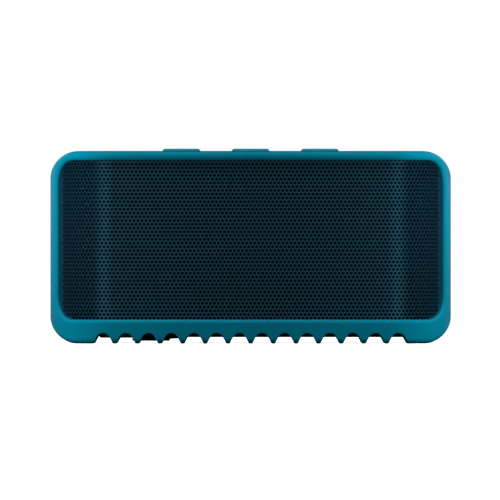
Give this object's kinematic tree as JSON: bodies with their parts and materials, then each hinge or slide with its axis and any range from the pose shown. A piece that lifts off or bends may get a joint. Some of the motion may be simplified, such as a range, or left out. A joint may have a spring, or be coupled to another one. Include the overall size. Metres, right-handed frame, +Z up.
{
  "type": "portable bluetooth speaker",
  "caption": "Compact box speaker in a silicone skin with wrap-around perforated grilles front and rear, top push buttons, ports on one end and a ribbed sole that stores its lead.",
  "frame": {"origin": "middle of the footprint, on the surface that the sole stands on", "axes": "+X to the right along the front, +Y to the rear, +Z up; the front grille faces -Y"},
  "size_m": [0.126, 0.054, 0.0613],
  "materials": {
    "teal_silicone": "satin moulded silicone",
    "sole_silicone": "satin moulded silicone",
    "button_silicone": "satin",
    "grille_metal": "satin dark paint, perforated all over",
    "speaker_cloth": "matt black acoustic cloth",
    "frame_plastic": "fine matt texture",
    "seal_foam": "matt foam",
    "basket_metal": "satin black",
    "magnet_metal": "zinc plated",
    "surround_rubber": "satin",
    "cone_paper": "matt coated paper",
    "coil_former": "wound former",
    "spider_cloth": "impregnated cloth",
    "radiator_ring": "satin black",
    "radiator_steel": "brushed",
    "microphone_can": "bright can",
    "boot_rubber": "matt",
    "plunger_plastic": "matt",
    "switch_plastic": "matt",
    "board_green": "solder mask",
    "shield_can": "bright tin plate",
    "chip_black": "moulded epoxy",
    "capacitor_sleeve": "sleeved can",
    "socket_nylon": "natural nylon",
    "cell_wrap": "shrink-wrapped can",
    "tray_plastic": "matt",
    "battery_wire": "wire insulation",
    "thin_wire": "wire insulation",
    "socket_shell": "plated",
    "jack_plastic": "matt",
    "knob_plastic": "matt",
    "trim_plastic": "fine matt texture",
    "guide_clear": "frosted clear",
    "led_package": "clear epoxy on white",
    "lead_jacket": "satin",
    "plug_metal": "black nickel",
    "screw_steel": "zinc plated"
  },
  "bodies": {
    "speaker": {"outer_sleeve": "teal_silicone", "sole_pad": "sole_silicone", "front_grille": "grille_metal", "rear_grille": "grille_metal", "front_cloth": "speaker_cloth", "rear_cloth": "speaker_cloth", "middle_frame": "frame_plastic", "front_baffle": "frame_plastic", "rear_baffle": "frame_plastic", "frame_seals": "seal_foam", "seat_gaskets": "seal_foam", "driver_frame_left": "basket_metal", "driver_frame_right": "basket_metal", "driver_magnet_left": "magnet_metal", "driver_magnet_right": "magnet_metal", "driver_surround_left": "surround_rubber", "driver_surround_right": "surround_rubber", "radiator_surround": "surround_rubber", "driver_spider_left": "spider_cloth", "driver_spider_right": "spider_cloth", "radiator_frame": "radiator_ring", "microphone": "microphone_can", "microphone_boot": "boot_rubber", "tact_switches": "switch_plastic", "power_switch_body": "switch_plastic", "main_board": "board_green", "port_board": "board_green", "bluetooth_module": "shield_can", "board_chips": "chip_black", "board_capacitors": "capacitor_sleeve", "board_sockets": "socket_nylon", "battery_cell": "cell_wrap", "battery_tray": "tray_plastic", "battery_lead": "battery_wire", "inner_wires": "thin_wire", "port_wires": "thin_wire", "usb_socket": "socket_shell", "audio_jack": "jack_plastic", "port_trim": "trim_plastic", "light_guide": "guide_clear", "status_led": "led_package", "audio_cable": "lead_jacket", "plug_grips": "lead_jacket", "plug_pins": "plug_metal", "frame_screws": "screw_steel", "board_screws": "screw_steel"},
    "volume_down": {"volume_down_button": "button_silicone", "volume_down_plunger": "plunger_plastic"},
    "call": {"call_button": "button_silicone", "call_plunger": "plunger_plastic"},
    "volume_up": {"volume_up_button": "button_silicone", "volume_up_plunger": "plunger_plastic"},
    "switch_knob": {"power_switch_knob": "knob_plastic"},
    "left_cone": {"driver_cone_left": "cone_paper", "dust_cap_left": "cone_paper", "voice_coil_left": "coil_former"},
    "right_cone": {"driver_cone_right": "cone_paper", "dust_cap_right": "cone_paper", "voice_coil_right": "coil_former"},
    "radiator": {"radiator_plate": "radiator_steel"}
  },
  "joints": [
    {"name": "volume_down_press", "type": "slide", "parent": "speaker", "child": "volume_down", "axis": [0, 0, -1], "range_m": [0, 0.0005], "stiffness_N_per_m": 800},
    {"name": "call_press", "type": "slide", "parent": "speaker", "child": "call", "axis": [0, 0, -1], "range_m": [0, 0.0005], "stiffness_N_per_m": 800},
    {"name": "volume_up_press", "type": "slide", "parent": "speaker", "child": "volume_up", "axis": [0, 0, -1], "range_m": [0, 0.0005], "stiffness_N_per_m": 800},
    {"name": "power_switch_slide", "type": "slide", "parent": "speaker", "child": "switch_knob", "axis": [0, 0, 1], "range_m": [-0.002, 0.002]},
    {"name": "left_cone_throw", "type": "slide", "parent": "speaker", "child": "left_cone", "axis": [0, -1, 0], "range_m": [-0.001, 0.001], "stiffness_N_per_m": 1300, "deforming": ["driver_surround_left", "driver_spider_left"]},
    {"name": "right_cone_throw", "type": "slide", "parent": "speaker", "child": "right_cone", "axis": [0, -1, 0], "range_m": [-0.001, 0.001], "stiffness_N_per_m": 1300, "deforming": ["driver_surround_right", "driver_spider_right"]},
    {"name": "radiator_throw", "type": "slide", "parent": "speaker", "child": "radiator", "axis": [0, 1, 0], "range_m": [-0.001, 0.001], "stiffness_N_per_m": 1500, "deforming": ["radiator_surround"]}
  ]
}
